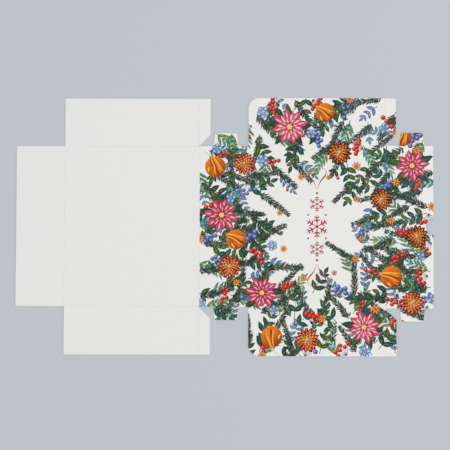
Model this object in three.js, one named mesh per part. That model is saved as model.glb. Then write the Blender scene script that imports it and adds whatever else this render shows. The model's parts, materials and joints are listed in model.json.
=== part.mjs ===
// Confectionery box: one die-cut sheet of carton board, lying flat before it is folded.
// Millimetres, +Z up. The printed outside faces up, and the sheet lies on the plane z = 0.
// +X runs from the front wall to the lid's front flap, and +Y is the side called left.
// The origin is the middle of the sheet's footprint. Every panel folds down, away from the print.
import * as THREE from "three";

// Board
const boardThickness = 0.5;
// Width of the pressed line between two panels; its hinge axis is in the middle, on the inner face
const creaseWidth = 0.3;
// Free space between two layers of board when the box is closed
const layerGap = 0.35;

// Tray: base, front wall, side walls and rear wall
const baseDepth = 167.5;
const baseWidth = 197.8;
const wallHeight = 60;
// How far the free edges of the front and side walls stop short of the closed lid
const trayWallShort = 0.5;
// How far the front wall's ends stop short of the side walls' outer faces
const frontWallInset = 0.4;
// How far the rear wall's ends pass the side walls' outer faces
const rearWallOverhang = 0.1;

// Lid: how loosely it goes over the tray, and how far its skirt stops short of the table
const lidPlayDepth = 1.3;
const lidPlaySide = 0.3;
const lidSkirtShort = 1.05;
// How far the lid's front flap stops short of the creases at its two ends
const lidFrontInset = 0.1;

// Corner tabs, which turn the corner inside the rear wall or the lid's front flap
const cornerTabReach = 13.8;
// Lock tabs on the rear wall and the lid's front flap, which go through slits beside the corner tabs
const lockTabFrom = 17;
const lockTabToWallEnd = 12;
const lockTabReach = 16.2;
const lockTabTaper = 2;
const slitPlay = 1;
// Free space on each face of a lock tab in its slit
const lockTabGap = 0.1;
// Width that the die leaves open where it cuts a slit beside a crease
const dieCut = 0.1;
// Short cuts that free a lock tab's root, so that it folds inside its panel's edge
const reliefCut = 0.4;

// Rounded corners and the thumb notch
const lidRearCornerRadius = 14;
const lidCornerRadius = 2;
const lockTabCornerRadius = 3;
const thumbNotchRadius = 9.5;
const segmentsPerArc = 16;

// Sizes that follow from those above
const halfCrease = creaseWidth / 2;
const baseHalf = baseWidth / 2;
const trayWallHeight = wallHeight - trayWallShort;
const frontWallHalf = baseHalf + boardThickness - frontWallInset;
const rearWallHalf = baseHalf + boardThickness + rearWallOverhang;
// One layer of board with the free space beside it
const layerStep = boardThickness + layerGap;
const lidDepth = baseDepth + 2 * layerStep + lidPlayDepth;
const lidHalf = baseHalf + 2 * layerStep + lidPlaySide;
const lidSkirtHeight = wallHeight - lidSkirtShort;
const lidFrontHalf = lidHalf - lidFrontInset;
const lockTabTo = wallHeight - lockTabToWallEnd;
const slitFrom = lockTabFrom - slitPlay;
const slitTo = lockTabTo + slitPlay;
// From the crease's centre line to the slit's far side, and how far a lock tab's crease lies inside
const slitDepth = boardThickness + 2 * lockTabGap;
const lockTabInset = boardThickness + lockTabGap;
const sheetLength = trayWallHeight + baseDepth + wallHeight + lidDepth + lidSkirtHeight;

// Bare board, and the mean tone of the printed panels
const bareBoard = new THREE.MeshStandardMaterial({ color: 0xe7e7e6, roughness: 0.55, metalness: 0 });
const printedBoard = new THREE.MeshStandardMaterial({ color: 0xa89b94, roughness: 0.4, metalness: 0 });

// The two sides of the sheet; a quarter turn to the left is +90 degrees
const quarterTurn = Math.PI / 2;
const sides = [
  { label: "left", sign: 1 },
  { label: "right", sign: -1 },
];

// Points of the arc that rounds one corner, tangent to the lines to its two neighbours
function cornerArc(corner, before, after, radius) {
  const back = before.clone().sub(corner).normalize();
  const ahead = after.clone().sub(corner).normalize();
  const halfAngle = Math.acos(back.dot(ahead)) / 2;
  const centre = back.clone().add(ahead).setLength(radius / Math.sin(halfAngle)).add(corner);
  const start = back.clone().setLength(radius / Math.tan(halfAngle)).add(corner);
  const sweep = Math.sign(back.cross(ahead)) * (2 * halfAngle - Math.PI);
  const points = [];
  for (let step = 0; step <= segmentsPerArc; step += 1) {
    points.push(start.clone().rotateAround(centre, sweep * step / segmentsPerArc));
  }
  return points;
}

// Closed outline through corners [x, y] or [x, y, radius]
function outline(corners) {
  const ends = corners.map(([x, y]) => new THREE.Vector2(x, y));
  const points = [];
  corners.forEach(([, , radius = 0], index) => {
    const before = ends.at(index - 1);
    const after = ends[(index + 1) % ends.length];
    const rounded = radius > 0 ? cornerArc(ends[index], before, after, radius) : [ends[index]];
    points.push(...rounded);
  });
  const distinct = points.filter((point, index) => point.distanceTo(points.at(index - 1)) > 1e-6);
  return new THREE.Shape(distinct);
}

// One flat panel of board. In its own frame its crease runs along y at x = 0, and it reaches to +x.
function panel(name, material, corners) {
  const settings = { depth: boardThickness, bevelEnabled: false };
  const mesh = new THREE.Mesh(new THREE.ExtrudeGeometry(outline(corners), settings), material);
  mesh.name = name;
  return mesh;
}

// Group with its origin on a crease, turned about Z so that its +x points out of the parent panel
function crease(x, y, turn, ...children) {
  const group = new THREE.Group();
  group.position.set(x, y, 0);
  group.rotation.z = turn;
  group.add(...children);
  return group;
}

// Corners of a plain panel that lies between x = from and x = to
function rectangle(from, to, half) {
  return [[from, -half], [to, -half], [to, half], [from, half]];
}

// Corners of a wall that has a lock tab at each end. A pocket frees each tab's root, so that its
// crease at lockHalf lies inside the wall's edge. farEdge lists the corners of the wall's far side.
function lockedWall(half, lockHalf, farEdge) {
  const pocketFrom = lockTabFrom - reliefCut;
  const pocketTo = lockTabTo + reliefCut;
  const pocketFloor = lockHalf - halfCrease;
  return [
    [halfCrease, -half],
    [pocketFrom, -half],
    [pocketFrom, -pocketFloor],
    [pocketTo, -pocketFloor],
    [pocketTo, -half],
    ...farEdge,
    [pocketTo, half],
    [pocketTo, pocketFloor],
    [pocketFrom, pocketFloor],
    [pocketFrom, half],
    [halfCrease, half],
  ];
}

// The two lock tabs of a wall: straight through the pocket, then tapered to a rounded tip
function lockTabs(name, half, lockHalf, material) {
  const pocketDepth = half - lockHalf;
  const reach = pocketDepth + lockTabReach;
  return sides.map(({ label, sign }) => {
    const along = (x) => -sign * x;
    const tab = panel(`${name}_${label}`, material, [
      [halfCrease, along(lockTabFrom)],
      [pocketDepth, along(lockTabFrom)],
      [reach, along(lockTabFrom + lockTabTaper), lockTabCornerRadius],
      [reach, along(lockTabTo - lockTabTaper), lockTabCornerRadius],
      [pocketDepth, along(lockTabTo)],
      [halfCrease, along(lockTabTo)],
    ]);
    return crease(0, sign * lockHalf, sign * quarterTurn, tab);
  });
}

// Tab at the far end of a side panel. Its root has a 45 degree chamfer that clears the corner of the
// neighbouring wall, and its crease side has the slit for the lock tab. height is the side panel's.
function cornerTab(name, sign, height, chamferFrom, cornerRadius, material) {
  const chamferTo = chamferFrom + cornerTabReach - halfCrease;
  return panel(name, material, [
    [halfCrease, sign * chamferFrom],
    [cornerTabReach, sign * chamferTo],
    [cornerTabReach, sign * height, cornerRadius],
    [halfCrease, sign * height],
    [halfCrease, sign * slitTo],
    [slitDepth, sign * slitTo],
    [slitDepth, sign * slitFrom],
    [halfCrease, sign * slitFrom],
  ]);
}

// Side panels of the tray or the lid, each with its corner tab. half is where they hang on the
// middle panel, depth is the middle panel's, and chamferFrom is where the tab's chamfer starts.
// In the flat sheet a lip of the side panel fills the slit, up to the die cut.
function sidePanels({ wall, tab, half, depth, height, rearRadius, tabRadius, chamferFrom, material }) {
  return sides.map(({ label, sign }) => {
    const along = (x) => -sign * x;
    const tabCrease = depth - layerStep;
    const tabEdge = along(tabCrease - halfCrease);
    const lipEdge = along(tabCrease + slitDepth - dieCut);
    const side = panel(`${wall}_${label}`, material, [
      [halfCrease, along(layerGap)],
      [height, along(layerGap), rearRadius],
      [height, tabEdge],
      [slitTo - dieCut, tabEdge],
      [slitTo - dieCut, lipEdge],
      [slitFrom + dieCut, lipEdge],
      [slitFrom + dieCut, tabEdge],
      [halfCrease, tabEdge],
    ]);
    const corner = cornerTab(`${tab}_${label}`, sign, height, chamferFrom, tabRadius, material);
    const cornerCrease = crease(0, along(tabCrease), -sign * quarterTurn, corner);
    return crease(0, sign * half, sign * quarterTurn, side, cornerCrease);
  });
}

// Lid's front flap, with the thumb notch in the middle of its free edge
function lidFrontFlap() {
  const lockHalf = lidHalf - lockTabInset;
  const notchFloor = lidSkirtHeight - thumbNotchRadius;
  const flap = panel("lid_front_flap", printedBoard, lockedWall(lidFrontHalf, lockHalf, [
    [lidSkirtHeight, -lidFrontHalf, lidCornerRadius],
    [lidSkirtHeight, -thumbNotchRadius],
    [notchFloor, -thumbNotchRadius, thumbNotchRadius],
    [notchFloor, thumbNotchRadius, thumbNotchRadius],
    [lidSkirtHeight, thumbNotchRadius],
    [lidSkirtHeight, lidFrontHalf, lidCornerRadius],
  ]));
  return crease(lidDepth, 0, 0, flap, ...lockTabs("front_lock_tab", lidFrontHalf, lockHalf, printedBoard));
}

// Lid, which turns on the rear wall's second crease
function lid() {
  const top = rectangle(halfCrease, lidDepth - halfCrease, lidHalf - halfCrease);
  const flaps = sidePanels({
    wall: "lid_side_flap",
    tab: "lid_corner_tab",
    half: lidHalf,
    depth: lidDepth,
    height: lidSkirtHeight,
    rearRadius: lidRearCornerRadius,
    tabRadius: lidCornerRadius,
    chamferFrom: lidFrontHalf - lidHalf + layerGap,
    material: printedBoard,
  });
  return crease(wallHeight, 0, 0, panel("lid_panel", printedBoard, top), ...flaps, lidFrontFlap());
}

// Rear wall, between the base's crease and the lid's
function rearWall() {
  const lockHalf = baseHalf - lockTabInset;
  const farEdge = [
    [wallHeight - halfCrease, -rearWallHalf],
    [wallHeight - halfCrease, rearWallHalf],
  ];
  const wall = panel("rear_wall", printedBoard, lockedWall(rearWallHalf, lockHalf, farEdge));
  return crease(baseDepth, 0, 0, wall, ...lockTabs("rear_lock_tab", rearWallHalf, lockHalf, printedBoard), lid());
}

// Front wall, a plain panel at the sheet's -X end
function frontWall() {
  const wall = panel("front_wall", bareBoard, rectangle(halfCrease, trayWallHeight, frontWallHalf));
  return crease(0, 0, 2 * quarterTurn, wall);
}

// Whole sheet, built out from the base; the group's origin is on the front wall's crease
function sheet() {
  const base = rectangle(halfCrease, baseDepth - halfCrease, baseHalf - halfCrease);
  const walls = sidePanels({
    wall: "side_wall",
    tab: "side_corner_tab",
    half: baseHalf,
    depth: baseDepth,
    height: trayWallHeight,
    rearRadius: 0,
    tabRadius: 0,
    chamferFrom: rearWallHalf - baseHalf + layerGap,
    material: bareBoard,
  });
  const frontCrease = trayWallHeight - sheetLength / 2;
  return crease(frontCrease, 0, 0, panel("base_panel", bareBoard, base), frontWall(), ...walls, rearWall());
}

export default sheet();
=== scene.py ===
"""Confectionery box as one flat die-cut sheet of printed carton board, print up, from above."""
import json
import math
import random

import bpy
import numpy
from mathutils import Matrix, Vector
from mathutils.geometry import delaunay_2d_cdt

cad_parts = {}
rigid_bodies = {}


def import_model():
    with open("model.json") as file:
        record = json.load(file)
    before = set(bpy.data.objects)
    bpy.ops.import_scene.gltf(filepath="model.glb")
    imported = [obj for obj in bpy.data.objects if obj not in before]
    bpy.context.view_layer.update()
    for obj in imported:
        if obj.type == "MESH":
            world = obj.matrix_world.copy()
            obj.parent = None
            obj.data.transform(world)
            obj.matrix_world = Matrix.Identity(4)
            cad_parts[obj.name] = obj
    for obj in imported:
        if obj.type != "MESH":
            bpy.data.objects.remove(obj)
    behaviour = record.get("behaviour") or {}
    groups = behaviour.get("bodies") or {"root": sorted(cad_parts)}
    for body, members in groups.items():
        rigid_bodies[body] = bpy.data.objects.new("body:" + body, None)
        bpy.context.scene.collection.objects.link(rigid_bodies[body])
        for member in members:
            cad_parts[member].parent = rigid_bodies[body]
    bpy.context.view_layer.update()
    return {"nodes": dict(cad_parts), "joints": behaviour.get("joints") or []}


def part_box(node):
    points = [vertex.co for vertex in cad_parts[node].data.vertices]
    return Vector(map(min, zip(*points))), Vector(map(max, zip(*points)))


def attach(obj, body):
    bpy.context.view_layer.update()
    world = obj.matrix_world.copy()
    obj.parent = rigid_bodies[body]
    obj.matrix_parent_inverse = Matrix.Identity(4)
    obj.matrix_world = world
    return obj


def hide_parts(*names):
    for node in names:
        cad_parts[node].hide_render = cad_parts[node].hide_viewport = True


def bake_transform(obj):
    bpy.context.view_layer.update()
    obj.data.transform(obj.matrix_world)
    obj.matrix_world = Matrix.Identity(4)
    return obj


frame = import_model()
nodes = frame["nodes"]
MM = 0.001


# Camera and surroundings
# A long lens hangs over the sheet, a little below its middle and tilted back by under two degrees.
# The sheet lies on a pale grey-blue table under an even sky and a soft sun. A lamp makes its right
# end a little brighter, and four low suns draw the thin shadow along its edges.
camera_place = (-0.4 * MM, -34.6 * MM, 1114.2 * MM)
camera_turn = (math.radians(1.865), math.radians(-0.034), math.radians(0.18))
camera_lens = 72
camera_sensor = 36
nearest_seen = 0.01
bpy.ops.object.camera_add(location=camera_place, rotation=camera_turn)
camera = bpy.context.object
camera.data.lens = camera_lens
camera.data.sensor_width = camera_sensor
camera.data.clip_start = nearest_seen
bpy.context.scene.camera = camera
bpy.context.scene.view_settings.view_transform = "Standard"


class Socket:
    """One output of a shader node; Python's operators on it add Math nodes to its tree."""

    def __init__(self, tree, output):
        self.tree = tree
        self.output = output

    def maths(self, operation, first, second):
        sockets = {"Value": first, "Value_001": second}
        return node(self.tree, "ShaderNodeMath", {"operation": operation}, sockets)["Value"]

    def __add__(self, other):
        return self.maths("ADD", self, other)

    def __radd__(self, other):
        return self.maths("ADD", other, self)

    def __sub__(self, other):
        return self.maths("SUBTRACT", self, other)

    def __rsub__(self, other):
        return self.maths("SUBTRACT", other, self)

    def __mul__(self, other):
        return self.maths("MULTIPLY", self, other)

    def __rmul__(self, other):
        return self.maths("MULTIPLY", other, self)

    def __lt__(self, other):
        return self.maths("LESS_THAN", self, other)

    def __gt__(self, other):
        return self.maths("GREATER_THAN", self, other)


def node(tree, kind, settings, sockets):
    """Add a node: its settings, then the values or links of its sockets. Gives its outputs."""
    made = tree.nodes.new(kind)
    for key, value in settings.items():
        setattr(made, key, value)
    inputs = {socket.identifier: socket for socket in made.inputs}
    for key, value in sockets.items():
        if isinstance(value, Socket):
            tree.links.new(value.output, inputs[key])
        else:
            inputs[key].default_value = value
    return {socket.identifier: Socket(tree, socket) for socket in made.outputs}


def ink(code):
    """Linear colour of an sRGB code such as "e7e7e6"."""
    parts = [int(code[i:i + 2], 16) / 255 for i in (0, 2, 4)]
    return tuple(p / 12.92 if p <= 0.04045 else ((p + 0.055) / 1.055) ** 2.4 for p in parts) + (1.0,)


def new_material(name):
    """Material without nodes, and its tree."""
    material = bpy.data.materials.new(name)
    material.use_nodes = True
    material.node_tree.nodes.clear()
    return material, material.node_tree


table_colour = ink("c3c9cf")
table_size = 60
table_gap = 0.05 * MM
bpy.ops.mesh.primitive_plane_add(size=table_size, location=(0, 0, -table_gap))
table = bpy.context.object
table.name = "table"
table_material, tree = new_material("table")
surface = node(tree, "ShaderNodeBsdfDiffuse", {}, {"Color": table_colour})["BSDF"]
clear = node(tree, "ShaderNodeBsdfTransparent", {}, {})["BSDF"]
underside = node(tree, "ShaderNodeNewGeometry", {}, {})["Backfacing"]
shaders = {"Fac": underside, "Shader": surface, "Shader_001": clear}
seen = node(tree, "ShaderNodeMixShader", {}, shaders)["Shader"]
node(tree, "ShaderNodeOutputMaterial", {}, {"Surface": seen})
table.data.materials.append(table_material)
table.visible_shadow = False
table.visible_diffuse = False
table.visible_glossy = False

sky_colour = (1, 1, 1, 1)
sky_level = 0.545
distance_colour = ink("bfc5cb")
world = bpy.data.worlds.new("even sky")
world.use_nodes = True
tree = world.node_tree
tree.nodes.clear()
seen_directly = node(tree, "ShaderNodeLightPath", {}, {})["Is Camera Ray"]
sky_light = {"Color": sky_colour, "Strength": sky_level}
sky = node(tree, "ShaderNodeBackground", {}, sky_light)["Background"]
distance = node(tree, "ShaderNodeBackground", {}, {"Color": distance_colour})["Background"]
shaders = {"Fac": seen_directly, "Shader": sky, "Shader_001": distance}
around = node(tree, "ShaderNodeMixShader", {}, shaders)["Shader"]
node(tree, "ShaderNodeOutputWorld", {}, {"Surface": around})
bpy.context.scene.world = world

lamp_place = Vector((1.2, 0.3, 1.2))
lamp_size = 0.8
lamp_power = 2.2
bpy.ops.object.light_add(type="AREA", location=lamp_place)
bpy.context.object.data.size = lamp_size
bpy.context.object.data.energy = lamp_power
bpy.context.object.rotation_euler = (-lamp_place).to_track_quat("-Z", "Y").to_euler()

# Direction, level and width of each sun
low_height = math.tan(math.radians(13))
suns = [
    ((0.2, 0.2, 1), 0.66, 40),
    ((1, 0, low_height), 0.92, 8),
    ((0, 1, low_height), 0.43, 8),
    ((-1, 0, low_height), 0.43, 8),
    ((0, -1, low_height), 0.43, 8),
]
for sun_place, level, width in suns:
    bpy.ops.object.light_add(type="SUN", location=sun_place)
    bpy.context.object.data.energy = level
    bpy.context.object.data.angle = math.radians(width)
    bpy.context.object.rotation_euler = (-Vector(sun_place)).to_track_quat("-Z", "Y").to_euler()


# Bare panels
# The base, the front and side walls and their corner tabs are unprinted: solid bleached board with a
# smooth coated outside and a slightly warmer uncoated inside. They keep the shape they were cut to.
outside_white = ink("e9e9e8")
inside_white = ink("dedbd3")
lowest_outside = 0.1 * MM
mottle_scale, mottle_detail = 60, 3
fibre_scale, fibre_detail = 1400, 4
darkest_shade = 0.985
mottle_shade = 0.02
fibre_shade = 0.01
fibre_relief = 0.25
fibre_height = 0.02 * MM
coat_roughness = 0.42
mottle_roughness = 0.14
coat_reflection = 0.16


def noise(tree, place, scale, detail):
    """Soft noise between 0 and 1."""
    sockets = {"Vector": place, "Scale": scale, "Detail": detail}
    return node(tree, "ShaderNodeTexNoise", {}, sockets)["Fac"]


def shaded(tree, colour, shade):
    """Colour made darker or lighter by a factor."""
    sockets = {"Vector": colour, "Scale": shade}
    return node(tree, "ShaderNodeVectorMath", {"operation": "SCALE"}, sockets)["Vector"]


def board_finish(tree, colour, place):
    """Satin coated board: faint mottle in the coat, fine fibre in the surface."""
    mottle = noise(tree, place, mottle_scale, mottle_detail)
    fibre = noise(tree, place, fibre_scale, fibre_detail)
    shade = darkest_shade + mottle_shade * mottle + fibre_shade * fibre
    relief = {"Strength": fibre_relief, "Distance": fibre_height, "Height": fibre}
    board = node(tree, "ShaderNodeBsdfPrincipled", {}, {
        "Base Color": shaded(tree, colour, shade),
        "Roughness": coat_roughness + mottle_roughness * mottle,
        "Normal": node(tree, "ShaderNodeBump", {}, relief)["Normal"],
        "Specular IOR Level": coat_reflection,
    })["BSDF"]
    node(tree, "ShaderNodeOutputMaterial", {}, {"Surface": board})


bare_material, tree = new_material("bare board")
place = node(tree, "ShaderNodeTexCoord", {}, {})["Object"]
height = node(tree, "ShaderNodeSeparateXYZ", {}, {"Vector": place})["Z"]
whites = {"Factor_Float": height < lowest_outside, "A_Color": outside_white, "B_Color": inside_white}
white = node(tree, "ShaderNodeMix", {"data_type": "RGBA"}, whites)["Result_Color"]
board_finish(tree, white, place)

bare_panels = ("base_panel", "front_wall", "side_wall_left", "side_wall_right",
               "side_corner_tab_left", "side_corner_tab_right")
for name in bare_panels:
    nodes[name].material_slots[0].material = bare_material


# Printed design
# The rear wall and the whole lid carry an all-over winter print in many inks: evergreen sprigs, long
# leaves, stars of petals, rosettes, baubles and berries on a white ground, open in the lid's middle.
# Each mark is a flat outline with two inks that run into each other from its root to its tip.
marks = []
draw = random.Random(41)


def mark(points, root, tip, root_ink, tip_ink):
    """Add one outline, in mm on the sheet, over all earlier ones."""
    area = sum(a[0] * b[1] - a[1] * b[0] for a, b in zip(points, points[1:] + points[:1]))
    marks.append((points if area > 0 else points[::-1], root, tip, root_ink, tip_ink))


def at(x, y, angle, points):
    """Points turned by angle and moved to x, y."""
    cosine, sine = math.cos(angle), math.sin(angle)
    return [(x + cosine * u - sine * v, y + sine * u + cosine * v) for u, v in points]


def away(x, y, angle, distance):
    """Place at a distance from x, y, in the direction of angle."""
    return x + math.cos(angle) * distance, y + math.sin(angle) * distance


def blade(x, y, angle, length, width, root_ink, tip_ink, belly=0.45, points=5, bend=0.0):
    """Pointed leaf or petal from x, y, widest at belly; bend curves it sideways."""
    power = math.log(0.5) / math.log(belly)
    edge = []
    for step in range(1, points):
        along = step / points
        edge.append((along, math.sin(math.pi * along ** power)))
    upper = [(length * a, width / 2 * swell + bend * length * a * a) for a, swell in edge]
    lower = [(length * a, -width / 2 * swell + bend * length * a * a) for a, swell in reversed(edge)]
    outline = at(x, y, angle, [(0, 0)] + upper + [(length, bend * length)] + lower)
    mark(outline, (x, y), outline[points], root_ink, tip_ink)


# The drawn light comes from the upper left
light_turn = 2.2


def disc(x, y, radius, near_ink, far_ink, sides=14):
    """Round spot, with its near ink on the side that the light comes from."""
    edge = [away(x, y, 2 * math.pi * step / sides, radius) for step in range(sides)]
    near, far = away(x, y, light_turn, radius), away(x, y, light_turn, -radius)
    mark(edge, near, far, near_ink, far_ink)


stem_steps = 5
stem_taper = 0.7


def stem(x, y, angle, length, width, colour, bend=0.0):
    """Tapered stem that curves sideways; returns a function that gives its place and direction."""
    def spine(along):
        u, v = length * along, bend * length * along * along
        (px, py), = at(x, y, angle, [(u, v)])
        return px, py, angle + math.atan(2 * bend * along)

    left, right = [], []
    for step in range(stem_steps + 1):
        along = step / stem_steps
        px, py, heading = spine(along)
        half = width / 2 * (1 - stem_taper * along)
        left.append(away(px, py, heading + math.pi / 2, half))
        right.append(away(px, py, heading - math.pi / 2, half))
    mark(left + right[::-1], (x, y), spine(1)[:2], colour, colour)
    return spine


# In a motif, a bare number is a share of its length, width or radius, or a turn in radians
pine_inks = [ink(code) for code in ("0e1f1a", "162c22", "234032", "365845", "12261f", "6f8f6c")]
twig_ink = ink("5a3b2c")
twig_width = 1.3
needle_gap = 1.7
needle_width = 1.4


def fir_sprig(x, y, angle, length, bend=0.0):
    """Evergreen sprig: a twig with short needles in two ranks, darker ones first."""
    spine = stem(x, y, angle, length, twig_width, twig_ink, bend)
    count = int(length / needle_gap)
    for rank in range(2):
        for step in range(count):
            along = (step + draw.random()) / count
            px, py, heading = spine(along)
            for side in (-1, 1):
                lean = side * draw.uniform(0.5, 1.0) * (1.0 - 0.25 * rank)
                reach = draw.uniform(7.0, 9.8) * (1 - 0.4 * along) * (1 - 0.15 * rank)
                root_ink = draw.choice(pine_inks[:3] if rank == 0 else pine_inks[1:5])
                tip_ink = draw.choice(pine_inks[1:])
                blade(px, py, heading + lean, reach, needle_width, root_ink, tip_ink,
                      belly=0.4, points=2)
    px, py, heading = spine(1)
    for lean in (-0.4, 0, 0.4):
        blade(px, py, heading + lean, 3.6, 0.9, pine_inks[2], pine_inks[5], belly=0.4, points=2)


def veined_leaf(x, y, angle, length, width, inks, bend=0.0):
    """Broad leaf: dark blade, one lighter half, a pale midrib and two light strokes."""
    dark, light, pale = inks
    blade(x, y, angle, length, width, dark, light, belly=0.42, points=7, bend=bend)
    half = away(x, y, angle + math.pi / 2, width * 0.1)
    blade(*half, angle + 0.05, length * 0.9, width * 0.42, light, dark,
          belly=0.45, points=5, bend=bend)
    blade(x, y, angle, length * 0.94, 0.5, pale, light, belly=0.3, points=3, bend=bend)
    for side in (-1, 1):
        start = away(*away(x, y, angle, length * 0.3), angle + side * math.pi / 2, width * 0.04)
        blade(*start, angle + side * 0.5, length * 0.3, 0.55, pale, dark, belly=0.4, points=2)


laurel_inks = [
    [ink("0d241d"), ink("27503c"), ink("6f9a70")],
    [ink("10302c"), ink("1d564c"), ink("74a898")],
    [ink("1d3318"), ink("46692c"), ink("a8b660")],
]
slate_inks = [
    [ink("1c3652"), ink("6a8db0"), ink("bcd0e0")],
    [ink("252f5c"), ink("7f8cba"), ink("c8cce6")],
    [ink("174a58"), ink("5f9aa4"), ink("bcdada")],
]
willow_inks = [
    [ink("0d4a3a"), ink("2f8460"), ink("9cc890")],
    [ink("114c4c"), ink("3f948a"), ink("b8dccc")],
    [ink("1a3a34"), ink("6f9a38"), ink("d8dc78")],
]


def leaf_spray(x, y, angle, length, leaf, width, inks, gap, bend=0.0, lean=0.75):
    """Stem with leaves in alternate pairs, smaller towards the tip."""
    spine = stem(x, y, angle, length, 0.9, inks[0][0], bend)
    count = max(2, int(length / gap))
    for step in range(count):
        along = (step + 0.6) / count
        px, py, heading = spine(along)
        size = 1 - 0.4 * along
        for side in (-1, 1):
            turn = heading + side * lean * draw.uniform(0.8, 1.15)
            reach = leaf * size * draw.uniform(0.85, 1.1)
            veined_leaf(px, py, turn, reach, width * size, draw.choice(inks), side * 0.08)
    veined_leaf(*spine(1), leaf * 0.7, width * 0.7, draw.choice(inks))


berry_inks = [ink("d4301f"), ink("6a1018"), ink("f4a286"), ink("4a2018")]
blue_berry_inks = [ink("6c7cbc"), ink("1c2252"), ink("c4ccec"), ink("2a363e")]
berry_fan = 1.7
stalk_width = 0.7


def berry(x, y, radius, inks):
    """Round berry with a brighter face and a small highlight."""
    near, far, shine, _ = inks
    disc(x, y, radius, near, far)
    disc(*away(x, y, light_turn, radius * 0.25), radius * 0.62, near, near, sides=10)
    disc(*away(x, y, light_turn, radius * 0.45), radius * 0.24, shine, shine, sides=6)


def berry_sprig(x, y, angle, length, radius, inks, count):
    """Fan of short stalks, each with a round berry at its end."""
    headings = [angle + (step / (count - 1) - 0.5) * berry_fan for step in range(count)]
    for heading in headings:
        reach = length * draw.uniform(0.6, 1.0)
        stem(x, y, heading, reach, stalk_width, inks[3])
    for step, heading in enumerate(headings):
        berry(*away(x, y, heading, length * (0.72 if step % 2 else 0.98)), radius, inks)


def petal(x, y, angle, length, width, inks):
    """Pointed petal: dark rim, brighter face, a light streak and a dark vein."""
    rim, face, light, vein = inks
    blade(x, y, angle, length, width, rim, rim, belly=0.5, points=6)
    blade(*away(x, y, angle, length * 0.06), angle, length * 0.86, width * 0.78, vein, face,
          belly=0.55, points=6)
    blade(*away(x, y, angle, length * 0.3), angle + 0.12, length * 0.5, width * 0.26, light, light,
          belly=0.5, points=3)
    blade(*away(x, y, angle, length * 0.2), angle - 0.1, length * 0.6, width * 0.1, vein, rim,
          belly=0.4, points=2)


pink_inks = [ink("8e1238"), ink("d85a76"), ink("f6b0b4"), ink("7a1238")]
rose_inks = [ink("b42a4e"), ink("ea8c98"), ink("fad4cc"), ink("8e2450")]
coral_inks = [ink("8a160f"), ink("e0502a"), ink("f8a860"), ink("5c0e12")]
amber_inks = [ink("8c3208"), ink("e87c14"), ink("f8c25a"), ink("6a1c0a")]
rust_inks = [ink("4a1208"), ink("b03c10"), ink("ec8a28"), ink("320a06")]
sky_inks = [ink("1f4a86"), ink("6c9cd0"), ink("cfe2f2"), ink("1a2c5a")]
gold_inks = [ink("e2a23a"), ink("fbe08c")]


def petal_star(x, y, radius, angle, outer, inner, rings=3, count=8):
    """Winter star flower: rings of pointed petals around a cluster of golden buds."""
    for ring in range(rings):
        size = 1 - 0.27 * ring
        inks = outer if ring == 0 else inner
        for step in range(count):
            turn = angle + 2 * math.pi * (step + 0.5 * (ring % 2)) / count
            turn += draw.uniform(-0.08, 0.08)
            reach = radius * size * draw.uniform(0.9, 1.05)
            petal(*away(x, y, turn, radius * 0.05), turn, reach, radius * 0.42 * size, inks)
    for step in range(7):
        bud = away(x, y, step * 2 * math.pi / 6, radius * (0.1 if step else 0))
        disc(*bud, radius * 0.055, gold_inks[1], gold_inks[0], sides=8)


def rosette(x, y, radius, angle, inks, core_inks):
    """Many-petalled round flower, its petals shorter and lighter towards the middle."""
    for ring in range(4):
        size = 1 - 0.23 * ring
        tones = inks if ring < 2 else core_inks
        count = 15 - 3 * ring
        for step in range(count):
            turn = angle + 2 * math.pi * (step + 0.5 * (ring % 2)) / count
            blade(*away(x, y, turn, radius * 0.05), turn, radius * size, radius * 0.34 * size,
                  tones[3], tones[0], belly=0.68, points=5)
            blade(*away(x, y, turn, radius * 0.2 * size), turn, radius * size * 0.68,
                  radius * 0.18 * size, tones[1], tones[2], belly=0.62, points=4)
    disc(x, y, radius * 0.13, gold_inks[1], core_inks[3], sides=10)


def bauble(x, y, radius, angle, inks):
    """Ribbed glass ball with its cap and a curl of string."""
    rim, face, light, dark = inks
    cap = away(x, y, angle, radius * 0.98)
    stem(*cap, angle + 0.2, radius * 0.9, 0.6, dark, 0.35)
    disc(x, y, radius, face, rim, sides=24)
    for step in range(-2, 3):
        lobe = at(x, y, angle + math.pi, [(-radius * 0.97, 0)])[0]
        bow = step * 0.2
        tone = (light, face, dark, light, rim)[step + 2]
        width = radius * (0.3 if step else 0.24)
        (side,) = at(0, 0, angle, [(0, bow * radius * 1.7)])
        blade(lobe[0] + side[0] * 0.25, lobe[1] + side[1] * 0.25, angle + math.pi - bow * 0.2,
              radius * 1.86, width, tone, face if step else rim,
              belly=0.5, points=7, bend=-bow * 0.35)
    shine = away(x, y, angle + 1.1, radius * 0.62)
    blade(*shine, angle + 2.6, radius * 0.6, radius * 0.16, light, light)
    collar = [(-radius * 0.12, -radius * 0.2), (radius * 0.16, -radius * 0.17),
              (radius * 0.16, radius * 0.17), (-radius * 0.12, radius * 0.2)]
    mark(at(*cap, angle, collar), cap, away(*cap, angle + 1.5, radius * 0.2), gold_inks[0], dark)


def blossom(x, y, radius, angle, inks):
    """Open five-petalled blossom with golden stamens."""
    for step in range(5):
        turn = angle + step * 2 * math.pi / 5
        blade(x, y, turn, radius, radius * 0.86, inks[0], inks[1], belly=0.66, points=6)
        blade(*away(x, y, turn, radius * 0.25), turn, radius * 0.62, radius * 0.4, inks[1], inks[2],
              belly=0.6, points=4)
        blade(x, y, turn, radius * 0.55, radius * 0.1, inks[3], inks[0], belly=0.4, points=2)
    for step in range(6):
        disc(*away(x, y, step * math.pi / 3, radius * 0.2), radius * 0.08, *gold_inks, sides=6)


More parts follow.
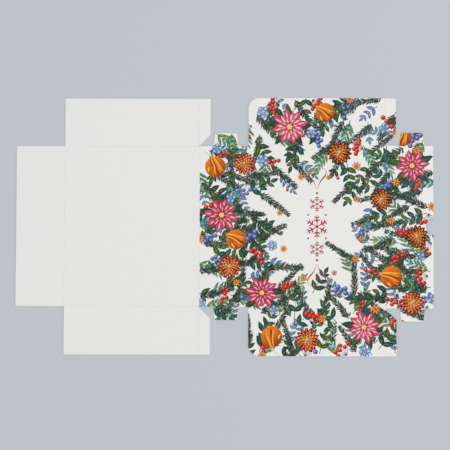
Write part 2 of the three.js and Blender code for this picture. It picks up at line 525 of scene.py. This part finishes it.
def small_star(x, y, radius, angle):
    """Little eight-rayed dried flower."""
    for step in range(8):
        turn = angle + step * math.pi / 4
        blade(x, y, turn, radius, radius * 0.42, amber_inks[3], amber_inks[0], belly=0.45, points=3)
        blade(x, y, turn, radius * 0.86, radius * 0.24, amber_inks[1], amber_inks[2],
              belly=0.5, points=3)
    disc(x, y, radius * 0.16, rust_inks[1], rust_inks[0], sides=8)


# Where the design goes: everywhere on the printed panels but the open ground in the lid's middle
printed_panels = ("rear_wall", "rear_lock_tab_left", "rear_lock_tab_right", "lid_panel",
                  "lid_side_flap_left", "lid_side_flap_right",
                  "lid_corner_tab_left", "lid_corner_tab_right",
                  "lid_front_flap", "front_lock_tab_left", "front_lock_tab_right")
printed_boxes = [[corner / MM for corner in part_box(name)] for name in printed_panels]
print_low = (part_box("rear_wall")[0] / MM).x
print_high = (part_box("lid_front_flap")[1] / MM).x
flap_reach = (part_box("lid_side_flap_left")[1] / MM).y
lid_low, lid_high = (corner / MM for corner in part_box("lid_panel"))
middle_x, middle_y = (lid_low.x + lid_high.x) / 2, (lid_low.y + lid_high.y) / 2
open_half_x, open_half_y = 60, 80
rim_waver = 0.1
lid_spread = 1.35
flap_spread = 1.2
scatter_tries = 2600
most_sway = 0.2


def on_print(x, y, margin):
    """Whether a place is on a printed panel or within a margin of one."""
    return any(low.x - margin < x < high.x + margin and low.y - margin < y < high.y + margin
               for low, high in printed_boxes)


def openness(x, y):
    """Below 1 on the open ground, and 1 at its rim, which wavers."""
    u, v = (x - middle_x) / open_half_x, (y - middle_y) / open_half_y
    waver = 1 + rim_waver * math.sin(5 * math.atan2(v, u) + 1)
    return math.hypot(u, v) / waver


def scatter(spacing, margin, least_open, taken=(), clear=0.0):
    """Places at least spacing apart, more on the lid, off the open ground and clear of the taken."""
    chosen = []
    for _ in range(scatter_tries):
        x = draw.uniform(print_low - margin, print_high + margin)
        y = draw.uniform(-flap_reach - margin, flap_reach + margin)
        on_flap = abs(y) > lid_high.y
        on_lid = lid_low.x < x < lid_high.x and not on_flap
        gap = spacing * (lid_spread if on_lid else flap_spread if on_flap else 1)
        far = all(math.dist((x, y), place) > gap for place in chosen)
        free = all(math.dist((x, y), place) > clear for place in taken)
        if far and free and on_print(x, y, margin) and openness(x, y) > least_open:
            chosen.append((x, y))
    return chosen


def inward(x, y, sway):
    """Direction from x, y towards the open ground, swayed at random."""
    return math.atan2(middle_y - y, middle_x - x) + draw.uniform(-sway, sway)


def random_bend():
    """Sideways bend of a stem."""
    return draw.uniform(-most_sway, most_sway)


# The large motifs have set places; the rest is scattered around and under them
star_places = [(-4, 14), (80, 124), (232, 76), (172, -124), (46, -82)]
rosette_places = [(6, -50), (142, 92), (102, -140), (238, -12), (24, 78), (194, 34), (232, -94)]
bauble_places = [(-12, 74), (206, -62), (58, -136), (124, 142), (14, -16), (220, 112)]
large_places = star_places + rosette_places + bauble_places

# Leaves under all the rest
for index, (x, y) in enumerate(scatter(spacing=17, margin=6, least_open=1.1)):
    heading = inward(x, y, sway=1.0)
    bend = random_bend()
    if index % 3 == 0:
        length = draw.uniform(24, 34)
        leaf_spray(x, y, heading, length, leaf=16, width=3.8, inks=willow_inks, gap=5.5, bend=bend,
                   lean=0.5)
    elif index % 3 == 1:
        length = draw.uniform(20, 28)
        leaf_spray(x, y, heading, length, leaf=11, width=5, inks=slate_inks, gap=6, bend=bend)
    else:
        length = draw.uniform(20, 30)
        leaf_spray(x, y, heading, length, leaf=15, width=7, inks=laurel_inks, gap=8.5, bend=bend)

# Fir sprigs, shorter above and below the ornament
ornament_half = 26
shortened = 0.55
for x, y in scatter(spacing=20, margin=2, least_open=1.12):
    length = draw.uniform(34, 48) * (shortened if abs(x - middle_x) < ornament_half else 1)
    fir_sprig(x, y, inward(x, y, sway=0.8), length, random_bend())

# Broad leaves and berries between the large motifs
for x, y in scatter(spacing=44, margin=0, least_open=1.15, taken=large_places, clear=14):
    heading = inward(x, y, sway=1.2)
    length = draw.uniform(24, 34)
    bend = random_bend()
    leaf_spray(x, y, heading, length, leaf=16, width=7.5, inks=laurel_inks, gap=8.5, bend=bend)
berry_places = scatter(spacing=33, margin=0, least_open=1.06, taken=large_places, clear=19)
for index, (x, y) in enumerate(berry_places):
    heading = inward(x, y, sway=2.0)
    length = draw.uniform(11, 15)
    radius = draw.uniform(2.5, 3.2)
    tones = blue_berry_inks if index % 3 == 0 else berry_inks
    berry_sprig(x, y, heading, length, radius, tones, count=draw.choice((5, 6, 7)))

# Petal stars, each on a wreath of leaves
wreath_leaves = 5
wreath_radius = 9
for x, y in star_places:
    for step in range(wreath_leaves):
        turn = draw.uniform(0, 0.6) + step * 2 * math.pi / wreath_leaves
        root = away(x, y, turn, wreath_radius)
        veined_leaf(*root, turn, length=20, width=9, inks=draw.choice(laurel_inks))
for index, (x, y) in enumerate(star_places):
    radius = draw.uniform(21, 24.5)
    inner = rose_inks if index % 2 else pink_inks
    petal_star(x, y, radius, draw.uniform(0, 1), pink_inks, inner)

# Rosettes and baubles
for index, (x, y) in enumerate(rosette_places):
    radius = draw.uniform(13, 16.5)
    inks = rust_inks if index % 2 else coral_inks
    rosette(x, y, radius, draw.uniform(0, 1), inks, amber_inks)
for x, y in bauble_places:
    bauble(x, y, draw.uniform(11, 14), draw.uniform(0, 6), amber_inks)

# Small flowers between them
flower_places = scatter(spacing=46, margin=0, least_open=1.02, taken=large_places, clear=20)
for index, (x, y) in enumerate(flower_places):
    if index % 2:
        small_star(x, y, draw.uniform(5.5, 7.5), draw.uniform(0, 1))
    else:
        blossom(x, y, draw.uniform(6, 8), draw.uniform(0, 1), sky_inks)

# A few loose sprinkles on the rim of the open ground, kept off the ornament in its middle
sprinkle_count = 16
for index in range(sprinkle_count):
    turn = 2 * math.pi * (index + draw.random() * 0.5) / sprinkle_count
    x = middle_x + math.cos(turn) * open_half_x * draw.uniform(0.72, 0.95)
    y = middle_y + math.sin(turn) * open_half_y * draw.uniform(0.78, 0.95)
    if index % 2:
        small_star(x, y, draw.uniform(3, 5.5), draw.random())
    else:
        berry(x, y, draw.uniform(1.3, 2.1), berry_inks)

# Ornament in the middle of the lid: a column of red snow crystals between two curled flourishes
red_ink = ink("a82c3a")
large_crystal, small_crystal = 16, 11
small_crystal_place = 28
end_dot, end_dot_place = 1.5, 41.5
side_dot, side_dot_place = 1.2, (11, 14.5)
flourish_place = 45
flourish_steps = 40
curl_start = 0.35


def crystal(x, y, radius):
    """Six-armed snow crystal drawn in even lines, with two pairs of twigs on each arm."""
    inks = (red_ink, red_ink)
    for step in range(6):
        turn = step * math.pi / 3 + math.pi / 6
        blade(x, y, turn, radius, radius * 0.14, *inks, belly=0.5, points=2)
        for share, twig in ((0.4, 0.34), (0.66, 0.26)):
            root = away(x, y, turn, radius * share)
            for side in (-1, 1):
                lean = turn + side * math.pi / 3
                blade(*root, lean, radius * twig, radius * 0.12, *inks, belly=0.5, points=2)
    disc(x, y, radius * 0.13, *inks, sides=6)


def flourish(x, y, heading, turn_way):
    """Thin line that swells and ends in a curl."""
    left, right = [], []
    angle = heading
    for step in range(flourish_steps):
        share = step / (flourish_steps - 1)
        curl = -0.055 if share < curl_start else 0.03 + 0.42 * (share - curl_start) ** 1.4
        angle += turn_way * curl
        x, y = away(x, y, angle, 1.25 * (1 - 0.62 * share))
        width = 0.35 + 1.3 * math.sin(math.pi * min(1, share * 1.25)) ** 2
        left.append(away(x, y, angle + math.pi / 2, width / 2))
        right.append(away(x, y, angle - math.pi / 2, width / 2))
    mark(left + right[::-1], left[0], left[-1], red_ink, red_ink)


crystal(middle_x, middle_y, large_crystal)
for side in (-1, 1):
    crystal(middle_x, middle_y + side * small_crystal_place, small_crystal)
    disc(middle_x, middle_y + side * end_dot_place, end_dot, red_ink, red_ink, sides=8)
    for way in (-1, 1):
        flourish(middle_x + way, middle_y + side * flourish_place, side * math.pi / 2, way * side)
        dot_x, dot_y = middle_x + way * side_dot_place[0], middle_y + side * side_dot_place[1]
        disc(dot_x, dot_y, side_dot, red_ink, red_ink, sides=8)


# Printed panels
# The rear wall with its lock tabs, and the lid with its flaps and tabs, are cut from the same board.
# The outside, under its satin varnish, is divided along the edges of the print, so each is crisp.
board_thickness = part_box("lid_panel")[1].z
ground_white = ink("ecebe8")
core_white = ink("d9d6cd")
facing_out = 0.5
join_distance = 1e-4
straight_sine = 2e-3
shortest_run = 1e-9
wash_scale, wash_detail = 420, 4
wash_depth, wash_base = 0.5, 0.22


def panel_outline(name):
    """Outline of a panel's outside, in order, in mm, from the mesh of its solid."""
    mesh = nodes[name].data
    uses = {}
    for polygon in mesh.polygons:
        corners = [mesh.vertices[index].co for index in polygon.vertices]
        if polygon.normal.z > facing_out:
            spots = [(round(c.x / MM, 3), round(c.y / MM, 3)) for c in corners]
            for start, end in zip(spots, spots[1:] + spots[:1]):
                uses[start, end] = True
    follows = {start: end for start, end in uses if (end, start) not in uses}
    loop = [next(iter(follows))]
    while follows[loop[-1]] != loop[0]:
        loop.append(follows[loop[-1]])
    return loop


mark_lows = numpy.array([numpy.min(m[0], axis=0) for m in marks])
mark_highs = numpy.array([numpy.max(m[0], axis=0) for m in marks])
mark_roots = numpy.array([m[1] for m in marks])
mark_runs = numpy.array([m[2] for m in marks]) - mark_roots
root_inks = numpy.array([m[3] for m in marks])
tip_inks = numpy.array([m[4] for m in marks])


def inside(spots, loop):
    """Which of the spots, an array of x and y, lie inside a closed outline."""
    within = numpy.zeros(len(spots), bool)
    for (ax, ay), (bx, by) in zip(loop, loop[1:] + loop[:1]):
        if ay != by:
            crosses = (spots[:, 1] < ay) != (spots[:, 1] < by)
            within ^= crosses & (spots[:, 0] < ax + (spots[:, 1] - ay) * (bx - ax) / (by - ay))
    return within


def divide(spots, edges, outline, shown):
    """Triangles inside an outline that keep to the given edges, and the topmost mark on each."""
    spots = [Vector(spot) for spot in spots]
    found, _, triangles, *_ = delaunay_2d_cdt(spots, edges, [], 0, join_distance, False)
    corners = numpy.array([spot[:] for spot in found])
    triangles = numpy.array(triangles)
    middles = corners[triangles].mean(axis=1)
    kept = inside(middles, outline)
    triangles, middles = triangles[kept], middles[kept]
    order = numpy.argsort(middles[:, 0])
    sorted_x = middles[order, 0]
    owner = numpy.full(len(triangles), -1, numpy.int32)
    for index in shown:
        low, high = mark_lows[index], mark_highs[index]
        first, last = numpy.searchsorted(sorted_x, (low[0], high[0]))
        near = order[first:last]
        near = near[(middles[near, 1] > low[1]) & (middles[near, 1] < high[1])]
        owner[near[inside(middles[near], marks[index][0])]] = index
    return corners, triangles, owner


def seen_edges(corners, triangles, owner):
    """Edges between different marks or at the rim, with straight runs of edges made one."""
    pairs = numpy.sort(triangles[:, [0, 1, 1, 2, 2, 0]].reshape(-1, 2), axis=1)
    keys, group = numpy.unique(pairs[:, 0] * len(corners) + pairs[:, 1], return_inverse=True)
    sides = numpy.bincount(group)
    owners = numpy.repeat(owner, 3)
    lowest, highest = numpy.full(len(keys), len(marks)), numpy.full(len(keys), -2)
    numpy.minimum.at(lowest, group, owners)
    numpy.maximum.at(highest, group, owners)
    links = {}
    for key in keys[(sides == 1) | (lowest != highest)].tolist():
        a, b = divmod(key, len(corners))
        links.setdefault(a, set()).add(b)
        links.setdefault(b, set()).add(a)
    flat = corners.tolist()
    for middle in list(links):
        if len(links[middle]) == 2:
            a, b = links[middle]
            ux, uy = flat[a][0] - flat[middle][0], flat[a][1] - flat[middle][1]
            vx, vy = flat[b][0] - flat[middle][0], flat[b][1] - flat[middle][1]
            turned = abs(ux * vy - uy * vx)
            straight = turned < straight_sine * math.hypot(ux, uy) * math.hypot(vx, vy)
            if straight and b not in links[a]:
                links[a].remove(middle)
                links[b].remove(middle)
                links[a].add(b)
                links[b].add(a)
                del links[middle]
    renamed = {index: number for number, index in enumerate(links)}
    edges = [(renamed[a], renamed[b]) for a in links for b in links[a] if a < b]
    return [flat[index] for index in links], edges


def printed_sheet(name, outline, lines=()):
    """Flat mesh inside an outline, divided by its marks and by lines, with the mark of each face."""
    low, high = numpy.min(outline, axis=0), numpy.max(outline, axis=0)
    shown = numpy.nonzero((mark_lows < high).all(axis=1) & (mark_highs > low).all(axis=1))[0]
    spots, edges = [], []
    for loop in [outline] + [marks[index][0] for index in shown]:
        first, count = len(spots), len(loop)
        spots += loop
        edges += [(first + step, first + (step + 1) % count) for step in range(count)]
    corners, triangles, owner = divide(spots, edges, outline, shown)
    spots, edges = seen_edges(corners, triangles, owner)
    for start, end in lines:
        edges.append((len(spots), len(spots) + 1))
        spots += [start, end]
    corners, triangles, owner = divide(spots, edges, outline, shown)
    used, renamed = numpy.unique(triangles, return_inverse=True)
    mesh = bpy.data.meshes.new(name)
    places = [(x * MM, y * MM, board_thickness) for x, y in corners[used]]
    mesh.from_pydata(places, [], renamed.reshape(-1, 3).tolist())
    mesh.attributes.new("mark", "INT", "FACE").data.foreach_set("value", owner)
    piece = bpy.data.objects.new(name, mesh)
    bpy.context.scene.collection.objects.link(piece)
    return piece


def select_only(piece):
    """Make a piece the only one that the next operator acts on."""
    bpy.ops.object.select_all(action="DESELECT")
    piece.select_set(True)
    bpy.context.view_layer.objects.active = piece


def listed(items, attribute, kind, width=1):
    """One attribute of every vertex, corner or face, as an array."""
    values = numpy.empty(len(items) * width, kind)
    items.foreach_get(attribute, values)
    return values.reshape(-1, width) if width > 1 else values


def colour_faces(piece, ground):
    """Write the colours of the outside, of the cut edges and of the inside on the faces' corners."""
    mesh = piece.data
    corner_counts = listed(mesh.polygons, "loop_total", numpy.int32)
    faces = numpy.repeat(numpy.arange(len(mesh.polygons)), corner_counts)
    owner = listed(mesh.attributes["mark"].data, "value", numpy.int32)[faces]
    upward = listed(mesh.polygons, "normal", numpy.float32, 3)[faces, 2]
    vertices = listed(mesh.loops, "vertex_index", numpy.int32)
    spots = listed(mesh.vertices, "co", numpy.float32, 3)[vertices, :2]
    runs = mark_runs[owner]
    squares = (runs ** 2).sum(axis=1) + shortest_run
    share = ((spots / MM - mark_roots[owner]) * runs).sum(axis=1) / squares
    share = share.clip(0, 1)[:, None]
    colours = root_inks[owner] * (1 - share) + tip_inks[owner] * share
    colours[owner < 0] = ground
    colours[upward < facing_out] = core_white
    colours[upward < -facing_out] = inside_white
    colours[(owner < 0) | (upward < facing_out), 3] = 0
    print_layer = mesh.color_attributes.new("print", "FLOAT_COLOR", "CORNER")
    print_layer.data.foreach_set("color", colours.astype(numpy.float32).ravel())
    mesh.attributes.remove(mesh.attributes["mark"])


# Ink lies in a fine wash, stronger and weaker, and the bare board beside it doesn't
print_material, tree = new_material("printed board")
place = node(tree, "ShaderNodeTexCoord", {}, {})["Object"]
printed = node(tree, "ShaderNodeAttribute", {"attribute_name": "print"}, {})
wash = noise(tree, place, wash_scale, wash_detail)
depth = 1 + printed["Alpha"] * (wash_depth * wash - wash_base)
board_finish(tree, shaded(tree, printed["Color"], depth), place)

for name in printed_panels:
    piece = printed_sheet(name + "_printed", panel_outline(name))
    select_only(piece)
    bpy.ops.object.mode_set(mode="EDIT")
    bpy.ops.mesh.select_mode(type="EDGE")
    bpy.ops.mesh.select_all(action="DESELECT")
    bpy.ops.mesh.select_non_manifold()
    bpy.ops.mesh.extrude_edges_move(TRANSFORM_OT_translate={"value": (0, 0, -board_thickness)})
    bpy.ops.mesh.edge_face_add()
    bpy.ops.mesh.select_all(action="SELECT")
    bpy.ops.mesh.normals_make_consistent(inside=False)
    bpy.ops.object.mode_set(mode="OBJECT")
    colour_faces(piece, ground_white)
    piece.data.materials.append(print_material)
    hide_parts(name)
    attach(piece, name)


# Creases
# Every panel hangs on its neighbour by a line pressed into the board from the outside. The strip is
# part of the same sheet, and it is dished where the rule pressed it.
dish_depth = 0.2 * MM
crease_reach = 0.25
crease_lines = 6
shortest_crease = 1


def crease_sides(name, pivot, across):
    """Stretches of a panel's outline along a crease: where each starts and ends, and its place."""
    loop = panel_outline(name)
    along = 1 - across
    found = []
    for start, end in zip(loop, loop[1:] + loop[:1]):
        if max(abs(start[across] - pivot), abs(end[across] - pivot)) < crease_reach:
            found.append(sorted((start[along], end[along])) + [start[across]])
    return found


def on_sheet(across, along, side):
    """Place on the sheet from the lengths along and across a crease."""
    return (side, along) if across == 0 else (along, side)


for joint in frame["joints"]:
    across = 0 if abs(joint["axis"][1]) > 0.5 else 1
    pivot = joint["pos_m"][across] / MM
    strips = []
    for low, high, child_edge in crease_sides(joint["child"], pivot, across):
        for parent_low, parent_high, parent_edge in crease_sides(joint["parent"], pivot, across):
            start, end = max(low, parent_low), min(high, parent_high)
            if end - start > shortest_crease:
                strips.append((start, end, parent_edge, child_edge))
    for index, (start, end, parent_edge, child_edge) in enumerate(strips):
        outline = [on_sheet(across, *corner) for corner in (
            (start, parent_edge), (start, child_edge), (end, child_edge), (end, parent_edge))]
        area = sum(a[0] * b[1] - a[1] * b[0] for a, b in zip(outline, outline[1:] + outline[:1]))
        if area < 0:
            outline.reverse()
        lines = []
        for number in range(1, crease_lines):
            side = parent_edge + (child_edge - parent_edge) * number / crease_lines
            lines.append((on_sheet(across, start, side), on_sheet(across, end, side)))
        bare = joint["parent"] in bare_panels and joint["child"] in bare_panels
        piece = printed_sheet(f"{joint['name']}_{index + 1}", outline, lines)
        select_only(piece)
        solid = piece.modifiers.new("board", "SOLIDIFY")
        solid.thickness = board_thickness
        solid.offset = -1
        bpy.ops.object.modifier_apply(modifier="board")
        half = abs(child_edge - parent_edge) * MM / 2
        for vertex in piece.data.vertices:
            if vertex.co.z > board_thickness / 2:
                offset = (vertex.co[across] - pivot * MM) / half
                vertex.co.z -= dish_depth * (1 - min(1, offset * offset))
        colour_faces(piece, outside_white if bare else ground_white)
        piece.data.materials.append(print_material)
        middle = (start + end) / 2
        begin = Vector((*on_sheet(across, middle, parent_edge), 0)) * MM
        finish = Vector((*on_sheet(across, middle, child_edge), 0)) * MM
        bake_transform(piece)
